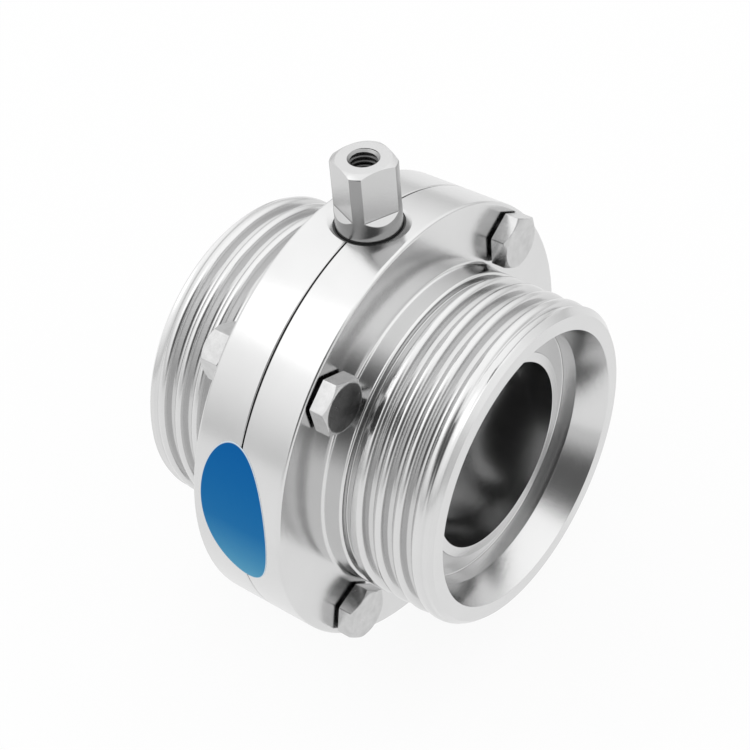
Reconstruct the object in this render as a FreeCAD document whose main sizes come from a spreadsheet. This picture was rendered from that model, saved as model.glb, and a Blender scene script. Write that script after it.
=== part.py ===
import FreeCAD, Part
import math
import os
import re
import Sketcher

# Sanitary butterfly valve with two round-threaded male ends.
# +X is the pipe axis, +Z the stem axis, and the origin is where the two cross.
# All sizes are millimetres and degrees.
SIZES = [
    ("half_length", 34, "centre to end face"),
    ("flange_half", 10.15, "centre to the outer face of a flange"),
    ("split_half", 0.2, "half the gap between the two flanges"),
    ("flange_chamfer", 0.6, "outer edge of a flange"),
    ("split_chamfer", 0.15, "edge of a flange at the split"),
    ("neck_radius", 32.5, "neck and thread crest"),
    ("neck_fillet", 0.8, "neck root at the flange"),
    ("neck_length", 4, "plain neck from the flange to the relief groove"),
    ("relief_width", 2.25, "thread relief groove"),
    ("relief_depth", 1.5, "depth of the relief groove"),
    ("thread_pitch", 4.2333, "round thread, six turns to the inch"),
    ("thread_depth_ratio", 0.5, "thread depth over pitch"),
    ("thread_round_ratio", 0.2385, "crest and root rounding over pitch"),
    ("flank_angle", 15, "flank of the thread from the radial direction"),
    ("thread_lead", 2.3, "relief groove to the middle of the first thread groove"),
    ("thread_count", 4, "thread grooves on each end"),
    ("rim_bevel", 1.5, "bevel of the outer rim at the end face"),
    ("mouth_wall", 4.4, "thread crest to the mouth at the end face"),
    ("recess_wall", 6.5, "thread crest to the gasket recess"),
    ("recess_depth", 9.4, "end face to the floor of the gasket recess"),
    ("cone_depth", 6.2, "end face to the foot of the mouth's cone"),
    ("lip_wall", 2, "collar inside the gasket recess"),
    ("lip_depth", 7.2, "end face to the face of the collar"),
    ("bore_radius", 19, "pipe bore"),
    ("seat_thickness", 8, "bore to the outside of the seat pocket"),
    ("pocket_wall", 1.15, "side of the seat pocket to the outer face of the flange"),
    ("seat_clearance", 0.05, "seat ring in its pocket"),
    ("seat_round", 0.8, "rounded edge of the seat ring's bore"),
    ("stem_radius", 6.2, "stem and turned corners of its square"),
    ("trunnion_radius", 5, "lower journal of the disc"),
    ("trunnion_cover", 8.2, "foot of the lower journal to the flange's rim"),
    ("stem_reach", 13.5, "stem above the flange's rim"),
    ("square_flats", 10.1, "across the flats of the stem's square"),
    ("square_length", 9.9, "length of the flats"),
    ("stem_bevel_width", 1.15, "bevel of the stem's top edge, across"),
    ("stem_bevel_height", 0.6, "bevel of the stem's top edge, down"),
    ("trunnion_bevel", 0.7, "bevel of the lower journal's foot"),
    ("tap_radius", 2.5, "core of the threaded hole in the stem"),
    ("tap_depth", 12, "depth of the threaded hole"),
    ("tap_bevel", 0.45, "countersink of the threaded hole"),
    ("drill_angle", 31, "slope of the drill point, from square to the axis"),
    ("running_clearance", 0.05, "journal in its bush or in the seat"),
    ("disc_clearance", 0.2, "disc edge to seat"),
    ("disc_rim_half", 1.6, "half the thickness of the disc's edge"),
    ("disc_crown", 1.4, "rise of each disc face from its edge to its middle"),
    ("hub_waist", 4.3, "radius of the disc's hub at its middle"),
    ("disc_angle", -23, "turn of the disc from shut, as it stands"),
    ("bush_wall", 0.4, "wall of a stem bush"),
    ("bush_fit", 0.03, "bush in the housing"),
    ("bush_floor", 1, "floor of the lower bush"),
    ("thrust_clearance", 0.2, "foot of the lower journal to the bush floor"),
    ("countersink_width", 1.1, "countersink of the stem bore at the flange, across"),
    ("countersink_depth", 0.5, "countersink of the stem bore at the flange, down"),
    ("bush_drop", 0.1, "top of the upper bush below the countersink"),
    ("neck_to_bolt", 6.4, "neck to the middle of a bolt"),
    ("bolt_to_rim", 6.1, "middle of a bolt to the flange's rim"),
    ("bolt_radius", 2.95, "bolt shank"),
    ("hole_clearance", 0.35, "bolt shank in the flanges"),
    ("bolt_inset", 0.3, "bolt end below the outer face of its nut"),
    ("bolt_tip", 0.6, "bevel of the bolt's end"),
    ("hex_flats", 10, "across the flats of bolt heads and nuts"),
    ("head_height", 4, "bolt head with its washer face"),
    ("washer_face", 0.4, "height of the washer face"),
    ("washer_inset", 0.4, "hexagon's flats to the edge of the washer face"),
    ("hex_bevel_angle", 30, "bevel of heads and nuts"),
    ("hex_face_ratio", 0.475, "radius of the bevel's round face over the flats"),
    ("nut_height", 5, "nut"),
    ("nut_clearance", 0.05, "bolt shank in its nut"),
    ("nut_countersink", 0.4, "countersink at both ends of the nut's hole"),
    ("label_long", 15.1, "half the height of the oval label"),
    ("label_margin", 2.75, "edge of the label to the outer face of the flange"),
    ("label_thickness", 0.12, "label"),
    ("label_angle", 8.5, "label centre above the middle of the flange's side"),
    ("lean_angle", 6, "lean of the label"),
    ("label_shift", -0.5, "label centre along the pipe"),
    ("overrun", 1, "how far a cutting profile runs past the surface that it cuts"),
]
# Sizes that follow from others.
DERIVED = [
    ("recess_radius", "neck_radius - recess_wall", "gasket recess"),
    ("mouth_radius", "neck_radius - mouth_wall", "mouth at the end face"),
    ("lip_radius", "bore_radius + lip_wall", "outside of the collar"),
    ("pocket_radius", "bore_radius + seat_thickness", "seat pocket"),
    ("pocket_half", "flange_half - pocket_wall", "centre to the side wall of the seat pocket"),
    ("relief_start", "flange_half + neck_length", "thread relief groove, flange side"),
    ("relief_end", "relief_start + relief_width", "thread relief groove, thread side"),
    ("thread_first", "relief_end + thread_lead", "centre of the first thread groove"),
    ("bolt_circle_radius", "neck_radius + neck_to_bolt", "circle of the flange bolts"),
    ("flange_radius", "bolt_circle_radius + bolt_to_rim", "clamping flange, outer"),
    ("bolt_hole_radius", "bolt_radius + hole_clearance", "clearance hole in the flanges"),
    ("bolt_length", "2 * flange_half + nut_height - bolt_inset", "bolt under its head"),
    ("washer_radius", "hex_flats / 2 - washer_inset", "washer face"),
    ("trunnion_end", "flange_radius - trunnion_cover", "centre to the foot of the lower journal"),
    ("countersink_foot", "flange_radius - countersink_depth", "foot of the stem bore's countersink"),
    ("stem_top", "flange_radius + stem_reach", "centre to the top of the stem"),
    ("square_foot", "stem_top - square_length", "centre to the foot of the flats"),
    ("tap_mouth", "tap_radius + tap_bevel", "radius of the threaded hole's countersink"),
    ("disc_mid_half", "disc_rim_half + disc_crown", "half the thickness of the disc's middle"),
    ("label_short", "flange_half - label_margin", "half the width of the oval label"),
]
# Each bolt: its place round the pipe axis from the stem, the turn of its head and of its nut.
BOLTS = [(45, 0, 35), (-45, 10, 10), (-135, -12, 27), (135, 25, 50)]

doc = FreeCAD.newDocument("sanitary_butterfly_valve")
sheet = doc.addObject("Spreadsheet::Sheet", "Sizes")
formulas = [(name, f"={rule}", meaning) for name, rule, meaning in DERIVED]
for row, (name, size, meaning) in enumerate(SIZES + formulas, start=1):
    sheet.set(f"A{row}", name)
    sheet.set(f"B{row}", str(size))
    sheet.setAlias(f"B{row}", name)
    sheet.set(f"C{row}", meaning)
doc.recompute()


def bound(text):
    """An expression in which every plain name is a cell of the sheet."""
    return re.sub(r"\b[a-z]\w*\b(?!\()", lambda word: "Sizes." + word.group(), text)


def amount(text):
    """The number that an expression has now."""
    found = sheet.evalExpression(bound(text))
    return float(getattr(found, "Value", found))


def bind(thing, prop, text):
    thing.setExpression(prop, bound(text))


def new_body(label):
    body = doc.addObject("PartDesign::Body", label)
    body.Label = label
    return body


def datum(body, role):
    """One of the body's own origin planes or axes."""
    return next(item for item in body.Origin.OriginFeatures if item.Role == role)


def new_sketch(body, name, role):
    """A sketch on one of the body's own origin planes."""
    sketch = body.newObject("Sketcher::SketchObject", f"{body.Name}_{name}")
    sketch.AttachmentSupport = [(datum(body, role), "")]
    sketch.MapMode = "FlatFace"
    return sketch


def hold(sketch, kind, refs, text):
    """A dimension of the sketch that follows an expression."""
    index = sketch.addConstraint(Sketcher.Constraint(kind, *refs, amount(text)))
    bind(sketch, f"Constraints[{index}]", text)


def arc_between(start, end, radius, left):
    """The short arc from start to end, bulging to the left or the right of the way."""
    chord = end.sub(start)
    middle = start.add(end).multiply(0.5)
    side = FreeCAD.Vector(-chord.y, chord.x, 0).normalize()
    reach = math.sqrt(max(radius**2 - (chord.Length / 2) ** 2, 0))
    rise = radius - reach
    top = middle.add(side.multiply(rise if left else -rise))
    return Part.Arc(start, top, end)


def outline(sketch, steps):
    """A closed outline. Each step is (x, y), or (x, y, radius, left) for an arc to that point."""
    corners = [FreeCAD.Vector(amount(step[0]), amount(step[1]), 0) for step in steps]
    count = len(steps)
    ends = []
    for number in range(count):
        begin = corners[number - 1]
        end = corners[number]
        if len(steps[number]) == 2:
            index = sketch.addGeometry(Part.LineSegment(begin, end))
            ends.append((index, 1, 2))
            continue
        curve = arc_between(begin, end, amount(steps[number][2]), steps[number][3])
        index = sketch.addGeometry(curve)
        same = sketch.getPoint(index, 1).distanceToPoint(begin) < 1e-4
        ends.append((index, 1, 2) if same else (index, 2, 1))
    for number in range(count):
        index, _, tail = ends[number]
        following, head, _ = ends[(number + 1) % count]
        sketch.addConstraint(Sketcher.Constraint("Coincident", index, tail, following, head))
        for kind, text in (("DistanceX", steps[number][0]), ("DistanceY", steps[number][1])):
            hold(sketch, kind, (-1, 1, index, tail), text)
        if len(steps[number]) > 2:
            hold(sketch, "Radius", (index,), steps[number][2])


def revolve(body, name, sketch, axis, cut=False):
    kind = "PartDesign::Groove" if cut else "PartDesign::Revolution"
    feature = body.newObject(kind, f"{body.Name}_{name}")
    feature.Profile = sketch
    feature.ReferenceAxis = (sketch, [axis])
    feature.Angle = 360
    sketch.Visibility = False
    return feature


def pad(body, name, sketch, length, cut=False, reverse=False):
    kind = "PartDesign::Pocket" if cut else "PartDesign::Pad"
    feature = body.newObject(kind, f"{body.Name}_{name}")
    feature.Profile = sketch
    feature.Type = 0
    bind(feature, "Length", length)
    feature.Reversed = reverse
    sketch.Visibility = False
    return feature


def polar(body, name, feature, role, count):
    pattern = body.newObject("PartDesign::PolarPattern", f"{body.Name}_{name}")
    pattern.Originals = [feature]
    pattern.Axis = (datum(body, role), [""])
    pattern.Angle = 360
    pattern.Occurrences = count
    body.Tip = pattern
    return pattern


def hexagon(sketch):
    """A regular hexagon across hex_flats, centred on the origin."""
    corner = FreeCAD.Vector(amount("hex_flats") / math.sqrt(3), 0, 0)
    upright = FreeCAD.Vector(0, 0, 1)
    points = [FreeCAD.Rotation(upright, 60 * k).multVec(corner) for k in range(6)]
    for k in range(6):
        sketch.addGeometry(Part.LineSegment(points[k], points[(k + 1) % 6]))
    ring = sketch.addGeometry(Part.Circle(FreeCAD.Vector(), upright, corner.Length), True)
    sketch.addConstraint(Sketcher.Constraint("Coincident", ring, 3, -1, 1))
    hold(sketch, "Radius", (ring,), "hex_flats / sqrt(3)")
    for k in range(6):
        sketch.addConstraint(Sketcher.Constraint("Coincident", k, 2, (k + 1) % 6, 1))
        sketch.addConstraint(Sketcher.Constraint("PointOnObject", k, 1, ring))
        if k:
            sketch.addConstraint(Sketcher.Constraint("Equal", 0, k))
    sketch.addConstraint(Sketcher.Constraint("PointOnObject", 0, 1, -1))


def thread_profile(sketch):
    """One pitch of the round thread, cut down from just above its crest."""
    rounding = "thread_pitch * thread_round_ratio"
    crest = "neck_radius"
    root = "neck_radius - thread_pitch * thread_depth_ratio"
    across = f"{rounding} * cos(flank_angle)"
    rise = f"{rounding} * sin(flank_angle)"
    left = "thread_first - thread_pitch / 2"
    right = "thread_first + thread_pitch / 2"
    over = f"{crest} + overrun"
    outline(sketch, [
        (left, over),
        (left, crest),
        (f"{left} + {across}", f"{crest} - {rounding} + {rise}", rounding, True),
        (f"thread_first - {across}", f"{root} + {rounding} - {rise}"),
        (f"thread_first + {across}", f"{root} + {rounding} - {rise}", rounding, False),
        (f"{right} - {across}", f"{crest} - {rounding} + {rise}"),
        (right, crest, rounding, True),
        (right, over),
    ])


def body_half(label, turn):
    """One half of the housing. The two halves are the same part, turned half round the stem."""
    body = new_body(label)
    profile = new_sketch(body, "profile", "XZ_Plane")
    outline(profile, [
        ("split_half", "pocket_radius"),
        ("split_half", "flange_radius - split_chamfer"),
        ("split_half + split_chamfer", "flange_radius"),
        ("flange_half - flange_chamfer", "flange_radius"),
        ("flange_half", "flange_radius - flange_chamfer"),
        ("flange_half", "neck_radius + neck_fillet"),
        ("flange_half + neck_fillet", "neck_radius", "neck_fillet", False),
        ("relief_start", "neck_radius"),
        ("relief_start", "neck_radius - relief_depth"),
        ("relief_end", "neck_radius - relief_depth"),
        ("relief_end", "neck_radius"),
        ("half_length - rim_bevel", "neck_radius"),
        ("half_length", "neck_radius - rim_bevel"),
        ("half_length", "mouth_radius"),
        ("half_length - cone_depth", "recess_radius"),
        ("half_length - recess_depth", "recess_radius"),
        ("half_length - recess_depth", "lip_radius"),
        ("half_length - lip_depth", "lip_radius"),
        ("half_length - lip_depth", "bore_radius"),
        ("pocket_half", "bore_radius"),
        ("pocket_half", "pocket_radius"),
    ])
    revolve(body, "shell", profile, "H_Axis")

    groove = new_sketch(body, "thread_profile", "XZ_Plane")
    thread_profile(groove)
    thread = revolve(body, "thread_groove", groove, "H_Axis", cut=True)
    rows = body.newObject("PartDesign::LinearPattern", f"{body.Name}_thread_grooves")
    rows.Originals = [thread]
    rows.Direction = (datum(body, "X_Axis"), [""])
    bind(rows, "Length", "thread_pitch * (thread_count - 1)")
    bind(rows, "Occurrences", "thread_count")
    body.Tip = rows

    upper = new_sketch(body, "upper_bore_profile", "XZ_Plane")
    housing = "stem_radius + running_clearance + bush_wall + bush_fit"
    outline(upper, [
        ("0", "bore_radius"),
        (housing, "bore_radius"),
        (housing, "countersink_foot"),
        (f"{housing} + countersink_width * (1 + overrun / countersink_depth)", "flange_radius + overrun"),
        ("0", "flange_radius + overrun"),
    ])
    revolve(body, "upper_stem_bore", upper, "V_Axis", cut=True)

    lower = new_sketch(body, "lower_bore_profile", "XZ_Plane")
    housing = "trunnion_radius + running_clearance + bush_wall + bush_fit"
    floor = "-(trunnion_end + thrust_clearance + bush_floor + bush_fit)"
    outline(lower, [
        ("0", "-bore_radius"),
        (housing, "-bore_radius"),
        (housing, floor),
        ("0", floor),
    ])
    revolve(body, "lower_stem_bore", lower, "V_Axis", cut=True)

    hole = new_sketch(body, "bolt_hole_profile", "YZ_Plane")
    aside = "bolt_circle_radius * cos(45)"
    centre = FreeCAD.Vector(amount(aside), amount(aside), 0)
    ring = hole.addGeometry(Part.Circle(centre, FreeCAD.Vector(0, 0, 1), amount("bolt_hole_radius")))
    hold(hole, "Radius", (ring,), "bolt_hole_radius")
    for kind in ("DistanceX", "DistanceY"):
        hold(hole, kind, (-1, 1, ring, 3), aside)
    drilled = pad(body, "bolt_hole", hole, "flange_half + overrun", cut=True, reverse=True)
    polar(body, "bolt_holes", drilled, "X_Axis", len(BOLTS))
    body.Placement = FreeCAD.Placement(FreeCAD.Vector(), FreeCAD.Rotation(FreeCAD.Vector(0, 0, 1), turn))
    return body


def seat_ring():
    """The rubber seat: a thick ring in the pocket, pierced above and below for the stem."""
    body = new_body("seat_ring")
    profile = new_sketch(body, "profile", "XZ_Plane")
    side = "pocket_half - seat_clearance"
    outline(profile, [
        (f"-({side})", "pocket_radius - seat_clearance"),
        (side, "pocket_radius - seat_clearance"),
        (side, "bore_radius + seat_round"),
        (f"{side} - seat_round", "bore_radius", "seat_round", True),
        (f"-({side} - seat_round)", "bore_radius"),
        (f"-({side})", "bore_radius + seat_round", "seat_round", True),
    ])
    revolve(body, "ring", profile, "H_Axis")
    holes = new_sketch(body, "stem_hole_profile", "XZ_Plane")
    outline(holes, [
        ("0", "-pocket_radius - overrun"),
        ("trunnion_radius + running_clearance", "-pocket_radius - overrun"),
        ("trunnion_radius + running_clearance", "0"),
        ("stem_radius + running_clearance", "0"),
        ("stem_radius + running_clearance", "pocket_radius + overrun"),
        ("0", "pocket_radius + overrun"),
    ])
    revolve(body, "stem_holes", holes, "V_Axis", cut=True)
    return body


def disc_and_stem():
    """The disc with its lower journal and the stem, forged as one, drawn with the valve shut."""
    body = new_body("disc_and_stem")
    disc = "(bore_radius - disc_clearance)"
    pole = f"sqrt({disc}^2 - stem_radius^2)"
    edge = f"sqrt({disc}^2 - disc_rim_half^2)"

    def sweep(reach, drop):
        """The radius of an arc that starts level and has dropped by drop at reach."""
        return f"(({reach})^2 + ({drop})^2) / (2 * ({drop}))"

    profile = new_sketch(body, "stem_profile", "XZ_Plane")
    outline(profile, [
        ("0", "-trunnion_end"),
        ("trunnion_radius - trunnion_bevel", "-trunnion_end"),
        ("trunnion_radius", "-trunnion_end + trunnion_bevel"),
        ("trunnion_radius", f"-{pole}"),
        ("hub_waist", "0", sweep(pole, "trunnion_radius - hub_waist"), False),
        ("stem_radius", pole, sweep(pole, "stem_radius - hub_waist"), False),
        ("stem_radius", "stem_top - stem_bevel_height"),
        ("stem_radius - stem_bevel_width", "stem_top"),
        ("0", "stem_top"),
    ])
    revolve(body, "stem", profile, "V_Axis")

    lens = new_sketch(body, "disc_profile", "XZ_Plane")
    bulge = sweep(edge, "disc_crown")
    outline(lens, [
        ("-disc_mid_half", "0"),
        ("-disc_rim_half", edge, bulge, True),
        ("disc_rim_half", edge, disc, True),
        ("disc_mid_half", "0", bulge, True),
    ])
    revolve(body, "disc", lens, "H_Axis")

    flat = new_sketch(body, "flat_profile", "XZ_Plane")
    outline(flat, [
        ("square_flats / 2", "square_foot"),
        ("square_flats / 2", "stem_top + overrun"),
        ("stem_radius + overrun", "stem_top + overrun"),
        ("stem_radius + overrun", "square_foot - (stem_radius + overrun - square_flats / 2)"),
    ])
    cut = pad(body, "flat", flat, "4 * stem_radius", cut=True)
    cut.SideType = "Symmetric"
    polar(body, "square", cut, "Z_Axis", 4)

    hole = new_sketch(body, "tapped_hole_profile", "XZ_Plane")
    outline(hole, [
        ("0", "stem_top - tap_depth - tap_radius * tan(drill_angle)"),
        ("tap_radius", "stem_top - tap_depth"),
        ("tap_radius", "stem_top - tap_bevel"),
        ("tap_mouth", "stem_top"),
        ("tap_mouth", "stem_top + overrun"),
        ("0", "stem_top + overrun"),
    ])
    revolve(body, "tapped_hole", hole, "V_Axis", cut=True)
    bind(body, "Placement.Rotation.Angle", "disc_angle")
    return body


def upper_bush():
    """The sleeve between the stem and the housing."""
    body = new_body("upper_stem_bush")
    profile = new_sketch(body, "profile", "XZ_Plane")
    inner = "stem_radius + running_clearance"
    top = "countersink_foot - bush_drop"
    foot = "pocket_radius + seat_clearance"
    outline(profile, [
        (inner, foot),
        (f"{inner} + bush_wall", foot),
        (f"{inner} + bush_wall", top),
        (inner, top),
    ])
    revolve(body, "sleeve", profile, "V_Axis")
    return body


def lower_bush():
    """The cup that carries the disc's lower journal."""
    body = new_body("lower_stem_bush")
    profile = new_sketch(body, "profile", "XZ_Plane")
    inner = "trunnion_radius + running_clearance"
    floor = "-(trunnion_end + thrust_clearance)"
    outline(profile, [
        ("0", floor),
        (inner, floor),
        (inner, "-(pocket_radius + seat_clearance)"),
        (f"{inner} + bush_wall", "-(pocket_radius + seat_clearance)"),
        (f"{inner} + bush_wall", f"{floor} - bush_floor"),
        ("0", f"{floor} - bush_floor"),
    ])
    revolve(body, "cup", profile, "V_Axis")
    return body


def bevel_hex(body, name, end, outward):
    """Turn the corners of a hexagon down to a round face at its end, which faces + or -."""
    sketch = new_sketch(body, name, "XZ_Plane")
    inward = "-" if outward == "+" else "+"
    face = "hex_flats * hex_face_ratio"
    outside = "(hex_flats / sqrt(3) + overrun)"
    outline(sketch, [
        (face, end),
        (outside, f"{end} {inward} ({outside} - {face}) * tan(hex_bevel_angle)"),
        (outside, f"{end} {outward} overrun"),
        (face, f"{end} {outward} overrun"),
    ])
    revolve(body, f"{name}_cut", sketch, "V_Axis", cut=True)


def place_on_circle(thing, angle, spin, reach):
    """Stand a fastener on the bolt circle with its own Z along the pipe axis."""
    bind(thing, "Placement.Base.x", reach)
    bind(thing, "Placement.Base.y", f"bolt_circle_radius * sin({angle})")
    bind(thing, "Placement.Base.z", f"bolt_circle_radius * cos({angle})")
    lay = FreeCAD.Rotation(FreeCAD.Vector(0, 1, 0), 90)
    turned = FreeCAD.Rotation(FreeCAD.Vector(1, 0, 0), spin)
    thing.Placement = FreeCAD.Placement(thing.Placement.Base, turned.multiply(lay))


def bolt(number, angle, spin):
    """A hexagon bolt, its head outside the front flange and its shank pointing to -X."""
    body = new_body(f"bolt_{number}")
    shape = new_sketch(body, "hexagon", "XY_Plane")
    hexagon(shape)
    pad(body, "head", shape, "head_height")
    bevel_hex(body, "head_bevel", "head_height", "+")
    under = new_sketch(body, "underside", "XZ_Plane")
    outline(under, [
        ("washer_radius", "0"),
        ("hex_flats", "0"),
        ("hex_flats", "washer_face"),
        ("washer_radius", "washer_face"),
    ])
    revolve(body, "washer_face", under, "V_Axis", cut=True)
    shank = new_sketch(body, "shank_profile", "XZ_Plane")
    outline(shank, [
        ("0", "washer_face"),
        ("bolt_radius", "washer_face"),
        ("bolt_radius", "bolt_tip - bolt_length"),
        ("bolt_radius - bolt_tip", "-bolt_length"),
        ("0", "-bolt_length"),
    ])
    revolve(body, "shank", shank, "V_Axis")
    place_on_circle(body, angle, spin, "flange_half")
    return body


def nut(number, angle, spin):
    """A hexagon nut on the rear flange."""
    body = new_body(f"nut_{number}")
    shape = new_sketch(body, "hexagon", "XY_Plane")
    hexagon(shape)
    pad(body, "blank", shape, "nut_height", reverse=True)
    bevel_hex(body, "outer_bevel", "-nut_height", "-")
    bevel_hex(body, "inner_bevel", "0", "+")
    hole = new_sketch(body, "hole_profile", "XZ_Plane")
    core = "bolt_radius + nut_clearance"
    outline(hole, [
        ("0", "-(nut_height + overrun)"),
        (f"{core} + nut_countersink + overrun", "-(nut_height + overrun)"),
        (core, "-(nut_height - nut_countersink)"),
        (core, "-nut_countersink"),
        (f"{core} + nut_countersink + overrun", "overrun"),
        ("0", "overrun"),
    ])
    revolve(body, "hole", hole, "V_Axis", cut=True)
    place_on_circle(body, angle, spin, "-flange_half")
    return body


def blank_label():
    """A thin bare oval stuck round the flanges' rim, over the split."""
    shell = doc.addObject("Part::Cylinder", "label_outside")
    bind(shell, "Radius", "flange_radius + label_thickness")
    core = doc.addObject("Part::Cylinder", "label_inside")
    bind(core, "Radius", "flange_radius")
    for drum in (shell, core):
        bind(drum, "Height", "2 * flange_half")
        bind(drum, "Placement.Base.x", "-flange_half")
        drum.Placement.Rotation = FreeCAD.Rotation(FreeCAD.Vector(0, 1, 0), 90)
    band = doc.addObject("Part::Cut", "label_band")
    band.Base = shell
    band.Tool = core
    oval = doc.addObject("Part::Ellipse", "label_oval")
    bind(oval, "MajorRadius", "label_long")
    bind(oval, "MinorRadius", "label_short")
    cutter = doc.addObject("Part::Extrusion", "label_cutter")
    cutter.Base = oval
    cutter.DirMode = "Custom"
    cutter.Dir = FreeCAD.Vector(0, 0, 1)
    cutter.Solid = True
    bind(cutter, "LengthFwd", "2 * flange_radius")
    down = FreeCAD.Rotation(FreeCAD.Vector(1, 0, 0), 90 - amount("label_angle"))
    lean = FreeCAD.Rotation(FreeCAD.Vector(0, 0, 1), 90 + amount("lean_angle"))
    cutter.Placement = FreeCAD.Placement(FreeCAD.Vector(amount("label_shift"), 0, 0), down.multiply(lean))
    label = doc.addObject("Part::Common", "blank_label")
    label.Base = band
    label.Tool = cutter
    label.Label = "blank_label"
    return label


parts = [
    body_half("front_body_half", 0),
    body_half("rear_body_half", 180),
    seat_ring(),
    disc_and_stem(),
    upper_bush(),
    lower_bush(),
    blank_label(),
]
for number, (angle, head_spin, nut_spin) in enumerate(BOLTS, start=1):
    parts.append(bolt(number, angle, head_spin))
    parts.append(nut(number, angle, nut_spin))
doc.recompute()

for thing in doc.Objects:
    if "Invalid" in thing.State or "Error" in thing.State:
        raise RuntimeError(f"{thing.Label} did not build: {thing.State}")
for part in parts:
    if part.Shape.isNull() or not part.Shape.isValid():
        raise RuntimeError(f"{part.Label} has no valid shape")

os.makedirs("parts", exist_ok=True)
for part in parts:
    part.Shape.exportStep(f"parts/{part.Label}.step")
    box = part.Shape.BoundBox
    print(
        f"{part.Label}: {len(part.Shape.Solids)} solid, {part.Shape.Volume:.1f} mm3,"
        f" {box.XLength:.2f} x {box.YLength:.2f} x {box.ZLength:.2f} mm"
    )
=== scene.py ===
import math

import bmesh
import bpy
import numpy as np
from mathutils import Matrix, Vector


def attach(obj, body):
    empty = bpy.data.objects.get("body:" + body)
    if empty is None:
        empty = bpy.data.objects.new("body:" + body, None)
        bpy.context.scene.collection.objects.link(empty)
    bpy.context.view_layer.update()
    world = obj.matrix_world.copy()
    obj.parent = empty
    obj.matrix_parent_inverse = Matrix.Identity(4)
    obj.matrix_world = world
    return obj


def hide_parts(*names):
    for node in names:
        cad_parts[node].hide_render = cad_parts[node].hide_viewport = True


# Sanitary butterfly valve. +X is the pipe axis and +Z the stem axis.
# The sizes below are millimetres, and most are those of the part's source. The split, the relief groove,
# the countersink, the washer faces and the label's oval and place differ from it by less than 0.5 mm.
MM = 0.001
FLANGE_RADIUS = 45.0
FLANGE_HALF = 10.15
SPLIT_HALF = 0.15
NECK_RADIUS = 32.5
# Relief groove before the thread: start, end and depth.
RELIEF = (14.55, 16.4, 1.5)
FIRST_CREST_EDGE = 0.3
THREAD_PITCH = 4.2333
THREAD_DEPTH = 0.5 * THREAD_PITCH
THREAD_ROUND = 0.2385 * THREAD_PITCH
THREAD_FLANK = math.radians(15)
# Where the middle of a groove crosses the +Y side of each half as it is drawn, before the rear half
# is turned round.
FRONT_GROOVE = 18.1
REAR_GROOVE = 19.2
# The thread runs out between the first two places, to the third number's share of its depth.
THREAD_FADE = (29.6, 31.4, 0.3)
# The thread runs in while the middle of its groove goes from the first place to the second.
THREAD_START = (16.9, 18.1)
HALF_LENGTH = 34.0
RIM_BEVEL = 1.5
MOUTH_RADIUS = 28.1
RECESS_RADIUS = 26.0
RECESS_DEPTH = 9.4
CONE_DEPTH = 6.2
LIP_RADIUS = 21.0
LIP_DEPTH = 7.2
BORE_RADIUS = 19.0
POCKET_RADIUS = 27.0
POCKET_HALF = 9.0
STEM_RADIUS = 6.2
STEM_TOP = 58.5
# Bevel of the stem's top edge: across and down.
STEM_BEVEL = (1.15, 0.6)
SQUARE_FLATS = 10.1
SQUARE_FOOT = 48.6
TAP_RADIUS = 2.5
TAP_MOUTH = 2.95
TAP_DEPTH = 12.0
TAP_POINT = 1.5
TRUNNION_RADIUS = 5.0
TRUNNION_END = 36.8
TRUNNION_TO_FLOOR = 1.23
# The stem and the lower journal start this far from the pipe axis, inside the disc's hub.
SHAFT_START = 15.0
DISC_RADIUS = 18.8
DISC_RIM_HALF = 1.6
DISC_MID_HALF = 3.0
HUB_WAIST = 4.3
DISC_ANGLE = math.radians(-23)
BOLT_CIRCLE = 38.9
BOLT_HOLE_RADIUS = 3.3
BOLT_RADIUS = 2.95
BOLT_LENGTH = 25.0
BOLT_THREAD = 9.0
BOLT_TIP = 0.6
M6_RADIUS = 3.0
M6_PITCH = 1.0
HEX_FLATS = 10.0
HEX_FACE = 0.475 * HEX_FLATS
HEX_CORNER = 0.22
HEAD_HEIGHT = 4.0
# Washer face under a head: radius and height.
WASHER_FACE = (4.4, 0.55)
NUT_HEIGHT = 5.0
NUT_HOLE = 3.0
NUT_COUNTERSINK = 0.4
RUNNING = 0.05
SEAT_CLEARANCE = 0.05
BUSH_WALL = 0.4
BUSH_FIT = 0.03
BUSH_DROP = 0.1
# Countersink of the stem bore at the flange: across and down.
COUNTERSINK = (1.45, 0.65)
# Half the label's height and width, its place along and up, and its rise and lean in degrees.
LABEL_HALF = (15.0, 7.6)
LABEL_PLACE = (-0.45, -0.2)
LABEL_RISE = 8.5
LABEL_LEAN = 6
LABEL_THICKNESS = 0.12
# The label's pale edge starts at this share of the way from its middle to its edge.
LABEL_EDGE = 0.982
# Points round the housing.
RING_POINTS = 224
# Each bolt: its place round the pipe axis from the stem, the turn of its head and of its nut.
BOLTS = [(45, 0, 35), (-45, 10, 10), (-135, -12, 27), (135, 25, 50)]

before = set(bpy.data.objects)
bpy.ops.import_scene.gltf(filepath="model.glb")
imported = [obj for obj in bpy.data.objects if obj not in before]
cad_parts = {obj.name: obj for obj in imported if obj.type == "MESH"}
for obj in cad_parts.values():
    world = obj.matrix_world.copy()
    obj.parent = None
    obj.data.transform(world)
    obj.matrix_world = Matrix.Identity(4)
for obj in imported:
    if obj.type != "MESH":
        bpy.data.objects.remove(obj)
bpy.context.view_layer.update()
scene = bpy.context.scene


# Mesh building

def object_from(name, mesh):
    thing = bpy.data.objects.new(name, mesh)
    scene.collection.objects.link(thing)
    return thing


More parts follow.
